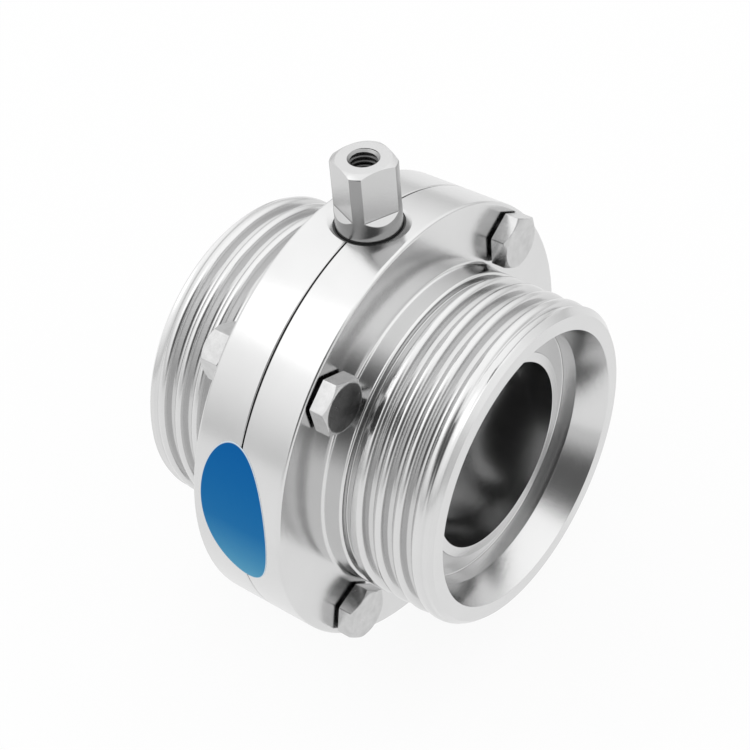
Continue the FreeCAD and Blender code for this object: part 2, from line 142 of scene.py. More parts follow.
def skin(name, rings):
    """A mesh from rings of points in millimetres, each ring with its first point repeated at its end."""
    rings = np.asarray(rings, float) * MM
    count, width = rings.shape[:2]
    index = np.arange(count * width).reshape(count, width)
    corners = np.stack([index[:-1, :-1], index[:-1, 1:], index[1:, 1:], index[1:, :-1]], -1)
    mesh = bpy.data.meshes.new(name)
    mesh.from_pydata(rings.reshape(-1, 3).tolist(), [], corners.reshape(-1, 4).tolist())
    shape = bmesh.new()
    shape.from_mesh(mesh)
    bmesh.ops.remove_doubles(shape, verts=shape.verts, dist=2e-7)
    bmesh.ops.recalc_face_normals(shape, faces=shape.faces)
    shape.to_mesh(mesh)
    shape.free()
    return object_from(name, mesh)


def circle(count):
    """Angles once round, the first one repeated at the end."""
    return np.linspace(0, 2 * math.pi, count + 1)


def ring_x(x, radius, count=RING_POINTS):
    """A ring about the pipe axis. x and radius may vary round it."""
    turn = circle(count)
    x = np.broadcast_to(x, turn.shape)
    radius = np.broadcast_to(radius, turn.shape)
    return np.stack([x, radius * np.cos(turn), radius * np.sin(turn)], -1)


def ring_z(z, radius, count=96):
    """A ring about the stem axis. z and radius may vary round it."""
    turn = circle(count)
    z = np.broadcast_to(z, turn.shape)
    radius = np.broadcast_to(radius, turn.shape)
    return np.stack([radius * np.cos(turn), radius * np.sin(turn), z], -1)


def eased(points, radius, steps=3):
    """The line of points with each inner corner rounded.
    A point may carry its own radius as a third number."""
    line = [tuple(points[0][:2])]
    for before, here, after in zip(points, points[1:], points[2:]):
        corner = Vector(here[:2])
        into = Vector(before[:2]) - corner
        out = Vector(after[:2]) - corner
        reach = here[2] if len(here) > 2 else radius
        bend = into.angle(out)
        if reach <= 0 or bend > math.radians(176):
            line.append(tuple(corner))
            continue
        cut = min(reach / math.tan(bend / 2), 0.45 * into.length, 0.45 * out.length)
        start = corner + into.normalized() * cut
        end = corner + out.normalized() * cut
        for step in range(steps + 1):
            t = step / steps
            bow = start * (1 - t) ** 2 + corner * 2 * t * (1 - t) + end * t**2
            line.append(tuple(bow))
    line.append(tuple(points[-1][:2]))
    return line


def carve(thing, *cutters):
    """Take the cutters out of a piece."""
    for cutter in cutters:
        change = thing.modifiers.new("cut", "BOOLEAN")
        change.operation = "DIFFERENCE"
        change.solver = "EXACT"
        change.object = cutter
    graph = bpy.context.evaluated_depsgraph_get()
    mesh = bpy.data.meshes.new_from_object(thing.evaluated_get(graph))
    thing.modifiers.clear()
    thing.data = mesh
    for cutter in cutters:
        bpy.data.objects.remove(cutter)


def join(first, *others):
    """Put the meshes of several pieces into the first one."""
    shape = bmesh.new()
    for thing in (first, *others):
        shape.from_mesh(thing.data)
    shape.to_mesh(first.data)
    shape.free()
    for thing in others:
        bpy.data.objects.remove(thing)
    return first


def finish_piece(thing, material, body, nodes, angle=35):
    """Smooth the faces up to the sharp edges, and put the piece in its CAD nodes' place."""
    thing.data.shade_smooth()
    thing.data.set_sharp_from_angle(angle=math.radians(angle))
    even = thing.modifiers.new("normals", "WEIGHTED_NORMAL")
    even.keep_sharp = True
    thing.data.materials.clear()
    thing.data.materials.append(material)
    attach(thing, body)
    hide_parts(*nodes)
    return thing


# Round threads

def helix_rows(start, end, pitch, phase, radius_at, ring, marks, count):
    """Rings that follow a right-hand thread from start to end, held inside those two ends.
    phase is where a groove's middle crosses zero turn, and marks are the places kept in each pitch."""
    turn = circle(count)
    rows = []
    first = math.floor((start - phase) / pitch) - 2
    last = math.ceil((end - phase) / pitch) + 2
    for number in range(first, last):
        for mark in marks:
            along = phase + (number + mark) * pitch + pitch * turn / (2 * math.pi)
            along = np.clip(along, start, end)
            rows.append(ring(along, radius_at(along, turn), count))
    return rows


def groove_middle(along, turn, pitch, phase):
    """Where the middle of the nearest thread groove lies."""
    lead = phase + pitch * turn / (2 * math.pi)
    return lead + np.round((along - lead) / pitch) * pitch


def groove_distance(along, turn, pitch, phase):
    """How far a place is from the middle of the nearest thread groove."""
    return np.abs(along - groove_middle(along, turn, pitch, phase))


def round_thread(away):
    """Radius of the round thread at a distance from the middle of its groove."""
    root = NECK_RADIUS - THREAD_DEPTH
    across = THREAD_ROUND * math.cos(THREAD_FLANK)
    rise = THREAD_ROUND * (1 - math.sin(THREAD_FLANK))
    crest_side = THREAD_PITCH / 2 - across
    bottom = root + THREAD_ROUND - np.sqrt(np.maximum(THREAD_ROUND**2 - np.minimum(away, across) ** 2, 0))
    top_away = THREAD_PITCH / 2 - np.maximum(away, crest_side)
    top = NECK_RADIUS - THREAD_ROUND + np.sqrt(np.maximum(THREAD_ROUND**2 - top_away**2, 0))
    slope = (away - across) / (crest_side - across)
    flank = root + rise + slope * (THREAD_DEPTH - 2 * rise)
    return np.where(away <= across, bottom, np.where(away >= crest_side, top, flank))


def pointed_thread(away, pitch, crest, depth):
    """Radius of a sixty-degree thread with flat crest and root."""
    level = np.clip((away / pitch - 0.07) / 0.36, 0, 1)
    return crest - depth * (1 - level)


def body_shell(name, groove):
    """One half of the housing, front side. groove is where its first thread groove crosses the +Y side."""
    relief_start, relief_end, relief_depth = RELIEF
    floor = HALF_LENGTH - RECESS_DEPTH
    lip = HALF_LENGTH - LIP_DEPTH
    cone = HALF_LENGTH - CONE_DEPTH
    fade_from, fade_to, least = THREAD_FADE
    run_in, full = THREAD_START
    bevel_start = HALF_LENGTH - RIM_BEVEL
    face_middle = MOUTH_RADIUS + 0.6

    def outer(along, turn):
        middle = groove_middle(along, turn, THREAD_PITCH, groove)
        depth = np.clip((fade_to - along) / (fade_to - fade_from), 0, 1) * (1 - least) + least
        depth = depth * np.clip((middle - run_in) / (full - run_in), 0, 1)
        thread = NECK_RADIUS - (NECK_RADIUS - round_thread(np.abs(along - middle))) * depth
        bevel = NECK_RADIUS - np.maximum(along - bevel_start, 0)
        edge = NECK_RADIUS - FIRST_CREST_EDGE + (along - relief_end)
        return np.minimum(np.minimum(thread, bevel), edge)

    inside = eased([
        (HALF_LENGTH, face_middle, 0),
        (HALF_LENGTH, MOUTH_RADIUS, 0.15),
        (cone, RECESS_RADIUS, 0.25),
        (floor, RECESS_RADIUS, 0.3),
        (floor, LIP_RADIUS, 0.1),
        (lip, LIP_RADIUS, 0.12),
        (lip, BORE_RADIUS, 0.12),
        (POCKET_HALF, BORE_RADIUS, 0.1),
        (POCKET_HALF, POCKET_RADIUS, 0.2),
        (SPLIT_HALF, POCKET_RADIUS, 0.1),
        (SPLIT_HALF, FLANGE_RADIUS, 0.3),
        (FLANGE_HALF, FLANGE_RADIUS, 0.7),
        (FLANGE_HALF, NECK_RADIUS, 0.8),
        (relief_start, NECK_RADIUS, 0.8),
        (relief_start, NECK_RADIUS - relief_depth, 0.25),
        (relief_end, NECK_RADIUS - relief_depth, 0.25),
        (relief_end, NECK_RADIUS - relief_depth + 0.4, 0),
    ], 0.1, 5)
    rows = [ring_x(x, radius) for x, radius in inside]
    turn = circle(RING_POINTS)
    marks = np.linspace(0, 1, 30, endpoint=False)
    rows += helix_rows(relief_end, bevel_start, THREAD_PITCH, groove, outer, ring_x, marks, RING_POINTS)
    for along in np.linspace(bevel_start, HALF_LENGTH, 9)[1:]:
        along = np.full(turn.shape, along)
        rows.append(ring_x(along, outer(along, turn)))
    rows.append(ring_x(HALF_LENGTH, face_middle))
    shell = skin(name, rows)

    across, down = COUNTERSINK
    housing = STEM_RADIUS + RUNNING + BUSH_WALL + BUSH_FIT
    upper = skin("upper_cut", [ring_z(z, r) for z, r in (
        (10, 0), (10, housing), (FLANGE_RADIUS - down, housing),
        (FLANGE_RADIUS + down, housing + 2 * across), (FLANGE_RADIUS + down, 0))])
    housing = TRUNNION_RADIUS + RUNNING + BUSH_WALL + BUSH_FIT
    bore_floor = -TRUNNION_END - TRUNNION_TO_FLOOR
    lower = skin("lower_cut", [ring_z(z, r) for z, r in (
        (-10, 0), (-10, housing), (bore_floor, housing), (bore_floor, 0))])
    cutters = [upper, lower]
    for angle, _, _ in BOLTS:
        place = math.radians(angle)
        drill = skin("bolt_cut", [ring_x(x, r, 40) for x, r in (
            (-1, 0), (-1, BOLT_HOLE_RADIUS), (11.5, BOLT_HOLE_RADIUS), (11.5, 0))])
        drill.data.transform(Matrix.Translation(
            (0, BOLT_CIRCLE * MM * math.sin(place), BOLT_CIRCLE * MM * math.cos(place))))
        cutters.append(drill)
    carve(shell, *cutters)
    return shell


# Valve disc and stem

def smooth_highest(a, b, width):
    """The higher of two surfaces, blended where they lie within width of each other."""
    blend = np.clip(0.5 + 0.5 * (a - b) / width, 0, 1)
    return b * (1 - blend) + a * blend + width * blend * (1 - blend)


def disc_plate(name):
    """The disc with its waisted hub, both faces and the spherical edge, drawn shut."""
    count = 160
    turn = circle(count)
    edge = math.sqrt(DISC_RADIUS**2 - DISC_RIM_HALF**2)
    bulge = (edge**2 + (DISC_MID_HALF - DISC_RIM_HALF) ** 2) / (2 * (DISC_MID_HALF - DISC_RIM_HALF))

    def height(away):
        y = away * np.cos(turn)
        z = away * np.sin(turn)
        plate = DISC_MID_HALF - bulge + np.sqrt(bulge**2 - away**2)
        grown = np.where(z > 0, STEM_RADIUS, TRUNNION_RADIUS) - HUB_WAIST
        hub = HUB_WAIST + grown * (z / edge) ** 2
        boss = np.sqrt(np.maximum(hub**2 - y**2, 0))
        lift = smooth_highest(boss, plate, 0.9)
        fade = np.clip((edge - away) / 0.7, 0, 1)
        return np.where(np.abs(z) > 0.9 * edge, lift, plate + (lift - plate) * fade)

    aways = np.concatenate([np.linspace(0, edge - 1, 44), np.linspace(edge - 0.9, edge, 6)])
    top = [np.stack([height(a), a * np.cos(turn), a * np.sin(turn)], -1) for a in aways]
    tilt = math.asin(DISC_RIM_HALF / DISC_RADIUS)
    rim = []
    for lean in np.linspace(tilt, -tilt, 9)[1:-1]:
        out = DISC_RADIUS * math.cos(lean)
        x = np.full(turn.shape, DISC_RADIUS * math.sin(lean))
        rim.append(np.stack([x, out * np.cos(turn), out * np.sin(turn)], -1))
    bottom = [row * np.array([-1, 1, 1]) for row in reversed(top)]
    return skin(name, top + rim + bottom)


def valve_disc():
    """The disc, its lower journal and the square stem, turned to where they stand."""
    plate = disc_plate("valve_disc")
    foot = skin("journal", [ring_z(z, r) for z, r in eased([
        (-SHAFT_START, 0, 0), (-SHAFT_START, TRUNNION_RADIUS, 0), (-TRUNNION_END, TRUNNION_RADIUS, 0.7),
        (-TRUNNION_END, 0, 0)], 0)])

    def thread(along, turn):
        away = groove_distance(along, turn, M6_PITCH, 0)
        ridge = M6_RADIUS + TAP_RADIUS - pointed_thread(away, M6_PITCH, M6_RADIUS, M6_RADIUS - TAP_RADIUS)
        mouth = TAP_MOUTH + np.minimum(along - STEM_TOP, 0)
        return np.maximum(ridge, mouth)

    rows = [ring_z(z, r) for z, r in eased([
        (SHAFT_START, 0, 0), (SHAFT_START, STEM_RADIUS, 0), (STEM_TOP - STEM_BEVEL[1], STEM_RADIUS, 0.35),
        (STEM_TOP, STEM_RADIUS - STEM_BEVEL[0], 0.5), (STEM_TOP, 3.05, 0)], 0)]
    marks = np.array([0.0, 0.07, 0.25, 0.43, 0.5, 0.57, 0.75, 0.93])
    tap_floor = STEM_TOP - TAP_DEPTH
    tapped = helix_rows(tap_floor, STEM_TOP, M6_PITCH, 0, thread, ring_z, marks, 96)
    rows += tapped[::-1]
    rows += [ring_z(tap_floor, TAP_RADIUS), ring_z(tap_floor - TAP_POINT, 0)]
    stem = skin("stem", rows)
    flats = []
    half = SQUARE_FLATS / 2
    far = STEM_RADIUS + 1
    over = STEM_TOP + 1
    outline = [(half, SQUARE_FOOT), (half, over), (far, over), (far, SQUARE_FOOT - far + half)]
    for quarter in range(4):
        block = bmesh.new()
        near = [block.verts.new((x * MM, -9 * MM, z * MM)) for x, z in outline]
        back = [block.verts.new((x * MM, 9 * MM, z * MM)) for x, z in outline]
        block.faces.new(near)
        block.faces.new(back[::-1])
        for k in range(4):
            block.faces.new((near[k], back[k], back[(k + 1) % 4], near[(k + 1) % 4]))
        bmesh.ops.recalc_face_normals(block, faces=block.faces)
        mesh = bpy.data.meshes.new("flat")
        block.to_mesh(mesh)
        block.free()
        mesh.transform(Matrix.Rotation(math.radians(90 * quarter), 4, "Z"))
        flats.append(object_from("flat", mesh))
    carve(stem, *flats)
    whole = join(plate, foot, stem)
    whole.data.transform(Matrix.Rotation(DISC_ANGLE, 4, "Z"))
    return whole


# Fasteners

def hexagon_outline(flats, corner, steps=5, along=10):
    """Points of a hexagon with slightly rounded corners, the first one repeated."""
    points = []
    heart = (flats / 2 - corner) / math.cos(math.radians(30))
    for k in range(6):
        angle = math.radians(60 * k)
        middle = np.array([math.cos(angle), math.sin(angle)]) * heart
        for lean in angle + np.radians(np.linspace(-30, 30, steps)):
            points.append(middle + corner * np.array([math.cos(lean), math.sin(lean)]))
        following = angle + math.radians(60)
        start = points[-1]
        outward = angle + math.radians(30)
        end = heart * np.array([math.cos(following), math.sin(following)])
        end = end + corner * np.array([math.cos(outward), math.sin(outward)])
        points += [start + (end - start) * step / along for step in range(1, along)]
    points.append(points[0])
    return np.array(points)


def hexagon_rows(outline, profile):
    """Rings from a list of (radius or None for the hexagon itself, height or a rule for it)."""
    reach = np.hypot(outline[:, 0], outline[:, 1])
    rows = []
    for radius, height in profile:
        across = outline if radius is None else outline * np.reshape(radius / reach, (-1, 1))
        level = height(reach) if callable(height) else np.full(reach.shape, height)
        rows.append(np.column_stack([across, level]))
    return rows


def stand(thing, angle, spin, reach):
    """Turn a fastener's own Z to the pipe axis and put it on the bolt circle."""
    place = math.radians(angle)
    spot = Vector((reach, BOLT_CIRCLE * math.sin(place), BOLT_CIRCLE * math.cos(place))) * MM
    turned = Matrix.Rotation(math.radians(spin), 4, "X") @ Matrix.Rotation(math.radians(90), 4, "Y")
    thing.data.transform(Matrix.Translation(spot) @ turned)


def bolt(number, angle, spin):
    """A bolt: a head with a shallow hollow in its face, and a shank threaded at its end."""
    slope = math.tan(math.radians(30))
    washer, gap = WASHER_FACE
    outline = hexagon_outline(HEX_FLATS, HEX_CORNER)
    rows = hexagon_rows(outline, [
        (0, 3.86), (HEX_FACE * 0.72, 3.88), (HEX_FACE * 0.97, HEAD_HEIGHT), (HEX_FACE * 1.02, 3.985),
        (None, lambda reach: HEAD_HEIGHT - (reach - HEX_FACE) * slope),
        (None, 0.6), (4.9, gap), (washer, gap), (washer, 0), (0, 0)])
    head = skin(f"hex_bolt_{number}", rows)

    def thread(along, turn):
        away = groove_distance(along, turn, M6_PITCH, 0)
        tip = BOLT_RADIUS - np.maximum(BOLT_TIP - BOLT_LENGTH - along, 0)
        return np.minimum(pointed_thread(away, M6_PITCH, BOLT_RADIUS, 0.55), tip)

    marks = np.array([0.0, 0.07, 0.43, 0.5, 0.57, 0.93])
    thread_end = BOLT_THREAD - BOLT_LENGTH
    rows = [ring_z(-BOLT_LENGTH, 0, 48)]
    rows += helix_rows(-BOLT_LENGTH, thread_end, M6_PITCH, 0, thread, ring_z, marks, 48)
    rows += [ring_z(thread_end, BOLT_RADIUS, 48), ring_z(0.2, BOLT_RADIUS, 48), ring_z(0.2, 0, 48)]
    shank = skin("shank", rows)
    whole = join(head, shank)
    stand(whole, angle, spin, FLANGE_HALF)
    return whole


def nut(number, angle, spin):
    """A nut with a plain hole, chamfered steeply on its outer face and less on its inner one."""
    outer_slope = 0.9
    inner_slope = 0.5
    hole_mouth = NUT_HOLE + NUT_COUNTERSINK
    hole_foot = NUT_COUNTERSINK - NUT_HEIGHT
    outline = hexagon_outline(HEX_FLATS, HEX_CORNER)
    rows = hexagon_rows(outline, [
        (NUT_HOLE, hole_foot), (hole_mouth, -NUT_HEIGHT), (HEX_FACE, -NUT_HEIGHT),
        (None, lambda reach: -NUT_HEIGHT + (reach - HEX_FACE) * outer_slope),
        (None, lambda reach: -(reach - HEX_FACE) * inner_slope),
        (HEX_FACE, 0), (hole_mouth, 0), (NUT_HOLE, -NUT_COUNTERSINK), (NUT_HOLE, hole_foot)])
    whole = skin(f"hex_nut_{number}", rows)
    stand(whole, angle, spin, -FLANGE_HALF)
    return whole


# Soft and plastic pieces

def seat():
    """The rubber seat: a thick ring pierced above and below for the stem."""
    side = POCKET_HALF - SEAT_CLEARANCE
    outside = POCKET_RADIUS - SEAT_CLEARANCE
    rows = [ring_x(x, r, 160) for x, r in eased([
        (0, outside, 0), (side, outside, 0.3), (side, BORE_RADIUS, 0.8),
        (-side, BORE_RADIUS, 0.8), (-side, outside, 0.3), (0, outside, 0)], 0.3, 5)]
    ring = skin("rubber_seat", rows)
    upper = skin("seat_cut", [ring_z(z, r) for z, r in (
        (10, 0), (10, STEM_RADIUS + RUNNING), (30, STEM_RADIUS + RUNNING), (30, 0))])
    lower = skin("seat_cut", [ring_z(z, r) for z, r in (
        (-10, 0), (-10, TRUNNION_RADIUS + RUNNING), (-30, TRUNNION_RADIUS + RUNNING), (-30, 0))])
    carve(ring, upper, lower)
    return ring


def upper_bush():
    """The sleeve between the stem and the housing. Its outline starts and ends on its inner wall."""
    inner = STEM_RADIUS + RUNNING
    outer = inner + BUSH_WALL
    foot = POCKET_RADIUS + SEAT_CLEARANCE
    top = FLANGE_RADIUS - COUNTERSINK[1] - BUSH_DROP
    rows = [ring_z(z, r) for z, r in eased([
        (35, inner, 0), (foot, inner, 0.1), (foot, outer, 0.1), (top, outer, 0.12), (top, inner, 0.12),
        (35, inner, 0)], 0.1, 3)]
    return skin("stem_sleeve", rows)


def label():
    """A thin oval film wrapped round the flanges' rim, over the split."""
    rise = math.radians(90 - LABEL_RISE)
    lean = math.radians(LABEL_LEAN)
    facing = Vector((0, -math.sin(rise), math.cos(rise)))
    upright = Vector((0, math.cos(rise), math.sin(rise)))
    across = Vector((1, 0, 0))
    long_way = upright * math.cos(lean) - across * math.sin(lean)
    short_way = across * math.cos(lean) + upright * math.sin(lean)
    rows = []
    spans = [(s, FLANGE_RADIUS + LABEL_THICKNESS) for s in np.linspace(0, LABEL_EDGE, 26)]
    spans += [(0.992, FLANGE_RADIUS + 0.105), (0.998, FLANGE_RADIUS + 0.06), (1.0, FLANGE_RADIUS + 0.01)]
    for span, radius in spans:
        ring = []
        for turn in circle(128):
            flat = long_way * (LABEL_HALF[0] * span * math.cos(turn))
            flat = flat + short_way * (LABEL_HALF[1] * span * math.sin(turn))
            aside = flat.dot(upright) + LABEL_PLACE[1]
            depth = math.sqrt(radius**2 - aside**2)
            spot = upright * aside + facing * depth
            ring.append((flat.x + LABEL_PLACE[0], spot.y, spot.z))
        rows.append(ring)
    return skin("blank_oval", rows)


# Materials

def new_material(name):
    """A new material, its node tree and its main shader."""
    made = bpy.data.materials.new(name)
    made.use_nodes = True
    tree = made.node_tree
    shader = next(node for node in tree.nodes if node.type == "BSDF_PRINCIPLED")
    return made, tree, shader


def add(tree, kind, **values):
    """A node with its settings and unlinked socket values. Socket names use _ for a space."""
    node = tree.nodes.new(kind)
    for name, value in values.items():
        if hasattr(node, name):
            setattr(node, name, value)
        else:
            node.inputs[name.replace("_", " ")].default_value = value
    return node


def sums(tree, operation, first, second=None):
    """The result of a sum on one or two inputs, each a number or another node's output."""
    node = tree.nodes.new("ShaderNodeMath")
    node.operation = operation
    for socket, value in zip(node.inputs, (first, second)):
        if value is None:
            continue
        if isinstance(value, (int, float)):
            socket.default_value = value
        else:
            tree.links.new(value, socket)
    return node.outputs[0]


def ramp(tree, value, stops):
    """A colour ramp from (position, grey or colour) stops."""
    node = tree.nodes.new("ShaderNodeValToRGB")
    tree.links.new(value, node.inputs[0])
    elements = node.color_ramp.elements
    while len(elements) < len(stops):
        elements.new(0.5)
    for element, (position, colour) in zip(elements, stops):
        element.position = position
        element.color = (colour, colour, colour, 1) if isinstance(colour, (int, float)) else (*colour, 1)
    return node.outputs[0]


def mixed(tree, blend, factor, first, second):
    """Two colours blended. Each of the three may be a value or another node's output."""
    node = add(tree, "ShaderNodeMix", data_type="RGBA", blend_type=blend)
    for socket, value in zip((node.inputs[0], node.inputs[6], node.inputs[7]), (factor, first, second)):
        if hasattr(value, "links"):
            tree.links.new(value, socket)
        else:
            socket.default_value = value
    return node.outputs[2]


def turned_coordinates(tree, axis):
    """The place in the object, a vector for noise, and the distances along and out from a lathe axis.
    The vector holds the two distances added up, and the place round the axis."""
    place = add(tree, "ShaderNodeTexCoord").outputs["Object"]
    split = add(tree, "ShaderNodeSeparateXYZ")
    tree.links.new(place, split.inputs[0])
    along = split.outputs[axis]
    side_a, side_b = [split.outputs[k] for k in "XYZ" if k != axis]
    square = sums(tree, "ADD", sums(tree, "MULTIPLY", side_a, side_a), sums(tree, "MULTIPLY", side_b, side_b))
    out = sums(tree, "SQRT", square)
    depth = sums(tree, "ADD", along, sums(tree, "MULTIPLY", out, 0.83))
    safe = sums(tree, "MAXIMUM", out, 0.0005)
    vector = add(tree, "ShaderNodeCombineXYZ")
    tree.links.new(depth, vector.inputs[0])
    tree.links.new(sums(tree, "MULTIPLY", sums(tree, "DIVIDE", side_a, safe), 0.02), vector.inputs[1])
    tree.links.new(sums(tree, "MULTIPLY", sums(tree, "DIVIDE", side_b, safe), 0.02), vector.inputs[2])
    return place, vector.outputs[0], along, out


def stem_shade_and_line(tree, along, out):
    """Share of the stem's colour, with painted shade: darker down the tapped hole, and darker on all that
    lies more than 6.15 mm from the axis, which is the collar, the corners between the flats and the disc. A
    thin dark line runs along the foot of the flats. The ramps read from 0 to 1, which is 10 mm out from the
    axis, 2 mm of the hole's depth and 1 mm at the line."""
    out = sums(tree, "MULTIPLY", out, 100.0)
    # painted shade: 0.55 of the colour beyond 6.15 mm from the axis (collar, corners between the flats,
    # disc), none inside the tapped hole
    painted_shade = ramp(tree, out, [(0.285, 0.0), (0.3, 1.0), (0.611, 1.0), (0.615, 0.55)])
    # painted shade down the tapped hole, darkest deep in it
    depth = sums(tree, "MULTIPLY", sums(tree, "SUBTRACT", along, (STEM_TOP - 2) * MM), 500.0)
    painted_shade = mixed(tree, "LIGHTEN", 1.0, painted_shade, ramp(tree, depth, [(0.2, 0.14), (0.75, 0.55)]))
    # a thin dark line along the foot of each flat
    foot = sums(tree, "MULTIPLY", sums(tree, "SUBTRACT", along, (SQUARE_FOOT - 0.5) * MM), 1000.0)
    mark = ramp(tree, foot, [(0.40, 1.0), (0.47, 0.3), (0.53, 0.3), (0.60, 1.0)])
    flat = ramp(tree, out, [(0.608, 0.0), (0.612, 1.0)])
    return mixed(tree, "MULTIPLY", 1.0, painted_shade, mixed(tree, "LIGHTEN", 1.0, mark, flat))


def thread_groove_shade(tree, along, out):
    """Share of the housing's colour: painted shade, a little darker towards the bottom of the thread grooves.
    Its ramps read from 0 to 1, which is 50 mm."""
    outward = sums(tree, "MULTIPLY", out, 20.0)
    # painted shade towards the bottom of the thread grooves
    groove = ramp(tree, outward, [(0.59, 1.0), (0.606, 0.88), (0.625, 0.9), (0.645, 1.0)])
    reach = sums(tree, "MULTIPLY", sums(tree, "ABSOLUTE", along), 20.0)
    rim = ramp(tree, reach, [(0.636, 0.0), (0.642, 1.0)])
    return mixed(tree, "LIGHTEN", 1.0, groove, rim)


def turned_metal(name, colour, axis, rough, line_depth, share, patch=0.1, stretch=0.45):
    """Lathe-turned and polished metal: fine rings about an axis, with soft patches of wear.
    share gives each place its share of the colour, from the distances along and out from the axis."""
    made, tree, shader = new_material(name)
    place, around, along, out = turned_coordinates(tree, axis)
    fine = add(tree, "ShaderNodeTexNoise", Scale=5200.0, Detail=3.0, Roughness=0.6)
    tree.links.new(around, fine.inputs["Vector"])
    coarse = add(tree, "ShaderNodeTexNoise", Scale=900.0, Detail=2.0, Roughness=0.5)
    tree.links.new(around, coarse.inputs["Vector"])
    cloud = add(tree, "ShaderNodeTexNoise", Scale=70.0, Detail=4.0, Roughness=0.6)
    tree.links.new(place, cloud.inputs["Vector"])
    level = sums(tree, "ADD", sums(tree, "MULTIPLY", fine.outputs[0], 0.05),
                 sums(tree, "MULTIPLY", cloud.outputs[0], patch))
    tree.links.new(sums(tree, "ADD", level, rough - 0.025 - patch / 2), shader.inputs["Roughness"])
    tint = ramp(tree, cloud.outputs[0], [(0.3, tuple(c * 0.95 for c in colour)), (0.7, colour)])
    tint = mixed(tree, "MULTIPLY", 1.0, tint, share(tree, along, out))
    tree.links.new(tint, shader.inputs["Base Color"])
    shader.inputs["Metallic"].default_value = 1.0
    shader.inputs["Anisotropic"].default_value = stretch
    tangent = add(tree, "ShaderNodeTangent", direction_type="RADIAL", axis=axis)
    tree.links.new(tangent.outputs[0], shader.inputs["Tangent"])
    height = sums(tree, "ADD", fine.outputs[0], sums(tree, "MULTIPLY", coarse.outputs[0], 1.2))
    bump = add(tree, "ShaderNodeBump", Strength=1.0, Distance=line_depth)
    tree.links.new(height, bump.inputs["Height"])
    tree.links.new(bump.outputs[0], shader.inputs["Normal"])
    return made


def formed_metal(name, colour, rough, darker_face):
    """Cold-formed bright metal with small pits and soft waves. It has painted shade in the gap under the
    heads, and is darker on the one head whose face has its middle at darker_face."""
    made, tree, shader = new_material(name)
    place = add(tree, "ShaderNodeTexCoord").outputs["Object"]
    split = add(tree, "ShaderNodeSeparateXYZ")
    tree.links.new(place, split.inputs[0])
    above = sums(tree, "MULTIPLY", sums(tree, "SUBTRACT", split.outputs["X"], FLANGE_HALF * MM), 1000.0)
    # painted shade: near black from the flange face to 0.6 mm above it, which is the gap under each head
    gap = ramp(tree, above, [(0.0, 0.05), (0.59, 0.05), (0.62, 1.0)])
    rear = sums(tree, "LESS_THAN", split.outputs["X"], 0.0)
    from_face = tree.nodes.new("ShaderNodeVectorMath")
    from_face.operation = "DISTANCE"
    tree.links.new(place, from_face.inputs[0])
    from_face.inputs[1].default_value = darker_face
    # darker colour on the face of the one head around darker_face
    face = ramp(tree, sums(tree, "MULTIPLY", from_face.outputs["Value"], 100.0), [(0.45, 0.42), (0.475, 1.0)])
    share = mixed(tree, "MULTIPLY", 1.0, mixed(tree, "LIGHTEN", 1.0, gap, rear), face)
    cloud = add(tree, "ShaderNodeTexNoise", Scale=420.0, Detail=5.0, Roughness=0.62)
    tree.links.new(place, cloud.inputs["Vector"])
    pits = add(tree, "ShaderNodeTexVoronoi", Scale=900.0, Randomness=1.0)
    tree.links.new(place, pits.inputs["Vector"])
    pit = ramp(tree, pits.outputs["Distance"], [(0.0, 0.0), (0.16, 1.0)])
    rougher = sums(tree, "ADD", sums(tree, "MULTIPLY", cloud.outputs[0], 0.3), rough - 0.15)
    tree.links.new(rougher, shader.inputs["Roughness"])
    tint = ramp(tree, cloud.outputs[0], [(0.35, tuple(c * 0.86 for c in colour)), (0.65, colour)])
    tree.links.new(mixed(tree, "MULTIPLY", 1.0, tint, share), shader.inputs["Base Color"])
    shader.inputs["Metallic"].default_value = 1.0
    height = sums(tree, "ADD", sums(tree, "MULTIPLY", cloud.outputs[0], 0.8),
                  sums(tree, "MULTIPLY", pit, 0.25))
    bump = add(tree, "ShaderNodeBump", Strength=1.0, Distance=0.000014)
    tree.links.new(height, bump.inputs["Height"])
    tree.links.new(bump.outputs[0], shader.inputs["Normal"])
    return made


def moulded(name, colour, rough, scale, depth):
    """Rubber or plastic with a fine moulded grain."""
    made, tree, shader = new_material(name)
    place = add(tree, "ShaderNodeTexCoord").outputs["Object"]
    grain = add(tree, "ShaderNodeTexNoise", Scale=scale, Detail=6.0, Roughness=0.65)
    tree.links.new(place, grain.inputs["Vector"])
    tint = ramp(tree, grain.outputs[0], [(0.3, tuple(c * 0.7 for c in colour)), (0.7, colour)])
    tree.links.new(tint, shader.inputs["Base Color"])
    tree.links.new(sums(tree, "ADD", sums(tree, "MULTIPLY", grain.outputs[0], 0.25), rough - 0.12),
                   shader.inputs["Roughness"])
    bump = add(tree, "ShaderNodeBump", Strength=1.0, Distance=depth)
    tree.links.new(grain.outputs[0], bump.inputs["Height"])
    tree.links.new(bump.outputs[0], shader.inputs["Normal"])
    return made


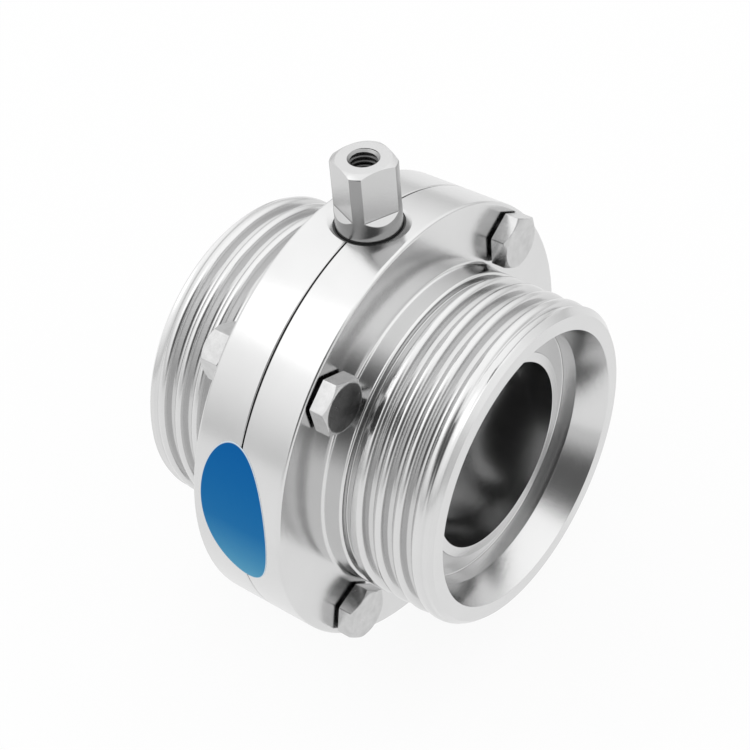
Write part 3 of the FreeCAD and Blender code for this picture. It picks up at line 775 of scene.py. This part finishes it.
def printed_film(name):
    """Blue label film, deeper towards its top, with a thin pale edge."""
    made, tree, shader = new_material(name)
    place = add(tree, "ShaderNodeTexCoord").outputs["Object"]
    split = add(tree, "ShaderNodeSeparateXYZ")
    tree.links.new(place, split.inputs[0])
    height = sums(tree, "DIVIDE", sums(tree, "ADD", split.outputs["Z"], 0.009), 0.031)
    blue = ramp(tree, height, [
        (0.0, (0.060, 0.30, 0.48)), (0.45, (0.006, 0.14, 0.36)), (1.0, (0.001, 0.10, 0.33))])
    rise = math.radians(LABEL_RISE)
    lean = math.radians(LABEL_LEAN)
    up = sums(tree, "ADD", sums(tree, "MULTIPLY", split.outputs["Y"], math.sin(rise)),
              sums(tree, "MULTIPLY", split.outputs["Z"], math.cos(rise)))
    up = sums(tree, "SUBTRACT", up, LABEL_PLACE[1] * MM)
    right = sums(tree, "SUBTRACT", split.outputs["X"], LABEL_PLACE[0] * MM)
    long_way = sums(tree, "SUBTRACT", sums(tree, "MULTIPLY", up, math.cos(lean)),
                    sums(tree, "MULTIPLY", right, math.sin(lean)))
    short_way = sums(tree, "ADD", sums(tree, "MULTIPLY", right, math.cos(lean)),
                     sums(tree, "MULTIPLY", up, math.sin(lean)))
    long_way = sums(tree, "DIVIDE", long_way, LABEL_HALF[0] * MM)
    short_way = sums(tree, "DIVIDE", short_way, LABEL_HALF[1] * MM)
    span = sums(tree, "SQRT", sums(tree, "ADD", sums(tree, "MULTIPLY", long_way, long_way),
                                   sums(tree, "MULTIPLY", short_way, short_way)))
    edge = ramp(tree, span, [(LABEL_EDGE, 0.0), (0.99, 1.0)])
    tree.links.new(mixed(tree, "MIX", edge, blue, (0.62, 0.70, 0.76, 1)), shader.inputs["Base Color"])
    shader.inputs["Specular IOR Level"].default_value = 0.04
    grain = add(tree, "ShaderNodeTexNoise", Scale=900.0, Detail=4.0)
    tree.links.new(place, grain.inputs["Vector"])
    rougher = sums(tree, "ADD", sums(tree, "MULTIPLY", grain.outputs[0], 0.12), 0.3)
    tree.links.new(rougher, shader.inputs["Roughness"])
    bump = add(tree, "ShaderNodeBump", Strength=1.0, Distance=0.00001)
    tree.links.new(grain.outputs[0], bump.inputs["Height"])
    tree.links.new(bump.outputs[0], shader.inputs["Normal"])
    return made


steel = turned_metal("turned_steel", (0.71, 0.71, 0.71), "X", 0.19, 0.000006, thread_groove_shade)
stem_steel = turned_metal("stem_steel", (0.63, 0.63, 0.63), "Z", 0.24, 0.000006, stem_shade_and_line)
bolt_steel = formed_metal("bolt_steel", (0.62, 0.62, 0.62), 0.22, (0.01415, -0.02751, 0.02751))
rubber = moulded("seat_rubber_black", (0.028, 0.028, 0.028), 0.5, 1500.0, 0.00003)
plastic = moulded("bush_black", (0.035, 0.035, 0.035), 0.45, 2200.0, 0.00001)
film = printed_film("label_film")


# Pieces

front = body_shell("front_housing", FRONT_GROOVE)
rear = body_shell("rear_housing", REAR_GROOVE)
rear.data.transform(Matrix.Rotation(math.pi, 4, "Z"))
finish_piece(front, steel, "housing", ["front_body_half"], angle=22)
finish_piece(rear, steel, "housing", ["rear_body_half"], angle=22)
finish_piece(seat(), rubber, "housing", ["seat_ring"])
finish_piece(upper_bush(), plastic, "housing", ["upper_stem_bush"])
finish_piece(label(), film, "housing", ["blank_label"], angle=60)
finish_piece(valve_disc(), stem_steel, "disc", ["disc_and_stem"], angle=25)
for number, (angle, head_spin, nut_spin) in enumerate(BOLTS, start=1):
    finish_piece(bolt(number, angle, head_spin), bolt_steel, "housing", [f"bolt_{number}"])
    finish_piece(nut(number, angle, nut_spin), bolt_steel, "housing", [f"nut_{number}"])
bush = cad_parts["lower_stem_bush"]
bush.data.materials.clear()
bush.data.materials.append(plastic)


# Floor, light and camera

def plain(name, kind, colour, strength=None):
    """A material of one shader of a plain colour, its node tree and that shader."""
    made = bpy.data.materials.new(name)
    made.use_nodes = True
    tree = made.node_tree
    tree.nodes.clear()
    out = tree.nodes.new("ShaderNodeOutputMaterial")
    shade = tree.nodes.new(kind)
    shade.inputs["Color"].default_value = (*colour, 1)
    if strength is not None:
        shade.inputs["Strength"].default_value = strength
    tree.links.new(shade.outputs[0], out.inputs[0])
    return made, tree, shade


# How much of the floor's look is plain white.
BACKDROP_SHARE = 0.9
# The way to the tent's open front, where the dark room shows.
DARK_TOWARD = (0.498, -0.637, 0.588)
# Where the camera stands, in millimetres.
CAMERA_PLACE = (160.456, -188.931, 227.988)

bpy.ops.mesh.primitive_plane_add(size=8, location=(0, 0, -FLANGE_RADIUS * MM))
floor = bpy.context.object
floor.name = "floor"
white, tree, paint = plain("floor_white", "ShaderNodeBsdfDiffuse", (0.95, 0.95, 0.95))
light_path = tree.nodes.new("ShaderNodeLightPath")
seen = sums(tree, "MAXIMUM", light_path.outputs["Is Camera Ray"], light_path.outputs["Is Glossy Ray"])
seen = sums(tree, "MAXIMUM", seen, light_path.outputs["Is Transmission Ray"])
backdrop = add(tree, "ShaderNodeEmission", Strength=1.0)
blend = tree.nodes.new("ShaderNodeMixShader")
tree.links.new(sums(tree, "MULTIPLY", seen, BACKDROP_SHARE), blend.inputs[0])
tree.links.new(paint.outputs[0], blend.inputs[1])
tree.links.new(backdrop.outputs[0], blend.inputs[2])
tree.links.new(blend.outputs[0], tree.nodes["Material Output"].inputs[0])
floor.data.materials.append(white)

bpy.ops.mesh.primitive_uv_sphere_add(segments=64, ring_count=48, radius=3, location=(0, 0, 0))
tent = bpy.context.object
tent.name = "studio_tent"
tent.data.shade_smooth()
tent_material, tree, glow = plain("tent_glow", "ShaderNodeEmission", (1, 1, 1), 1.0)
spot = tree.nodes.new("ShaderNodeTexCoord").outputs["Object"]
unit = tree.nodes.new("ShaderNodeVectorMath")
unit.operation = "NORMALIZE"
tree.links.new(spot, unit.inputs[0])
parts = tree.nodes.new("ShaderNodeSeparateXYZ")
tree.links.new(unit.outputs[0], parts.inputs[0])
sky = ramp(tree, parts.outputs["Z"], [
    (0.0, 0.49), (0.09, 0.52), (0.28, 0.68), (0.45, 0.80), (0.62, 0.88), (0.83, 0.94)])
toward = tree.nodes.new("ShaderNodeVectorMath")
toward.operation = "DOT_PRODUCT"
toward.inputs[1].default_value = DARK_TOWARD
tree.links.new(unit.outputs[0], toward.inputs[0])
open_side = ramp(tree, toward.outputs["Value"], [(0.80, 1.0), (0.87, 0.55), (0.93, 0.12), (1.0, 0.08)])
tree.links.new(mixed(tree, "MULTIPLY", 1.0, sky, open_side), glow.inputs["Color"])
glow.inputs["Strength"].default_value = 1.4
tent.data.materials.append(tent_material)
tent.visible_camera = False
tent.visible_diffuse = False
tent.visible_shadow = False
tent.visible_transmission = False

world = bpy.data.worlds.new("studio")
scene.world = world
world.use_nodes = True
world.node_tree.nodes["Background"].inputs["Color"].default_value = (1, 1, 1, 1)
world.node_tree.nodes["Background"].inputs["Strength"].default_value = 1.0

lamp_data = bpy.data.lights.new("softbox", "AREA")
lamp_data.shape = "DISK"
lamp_data.size = 0.5
lamp_data.energy = 0.25
lamp = bpy.data.objects.new("softbox", lamp_data)
scene.collection.objects.link(lamp)
lamp.location = (-0.35, -0.35, 0.75)
lamp.rotation_euler = (Vector((0, 0, 0)) - lamp.location).to_track_quat("-Z", "Y").to_euler()

azimuth = math.radians(40.691)
elevation = math.radians(41.624)
roll = math.radians(-5.311)
level = math.cos(elevation)
back = Vector((math.sin(azimuth) * level, -math.cos(azimuth) * level, math.sin(elevation)))
right = Vector((math.cos(azimuth), math.sin(azimuth), 0))
up = back.cross(right)
right, up = right * math.cos(roll) + up * math.sin(roll), up * math.cos(roll) - right * math.sin(roll)
camera_data = bpy.data.cameras.new("camera")
camera_data.sensor_width = 36
camera_data.lens = 81.926
camera_data.clip_start = 0.01
camera_data.clip_end = 20
camera = bpy.data.objects.new("camera", camera_data)
scene.collection.objects.link(camera)
stance = Matrix((right, up, back)).transposed().to_4x4()
stance.translation = Vector(CAMERA_PLACE) * MM
camera.matrix_world = stance
scene.camera = camera

scene.view_settings.view_transform = "Standard"
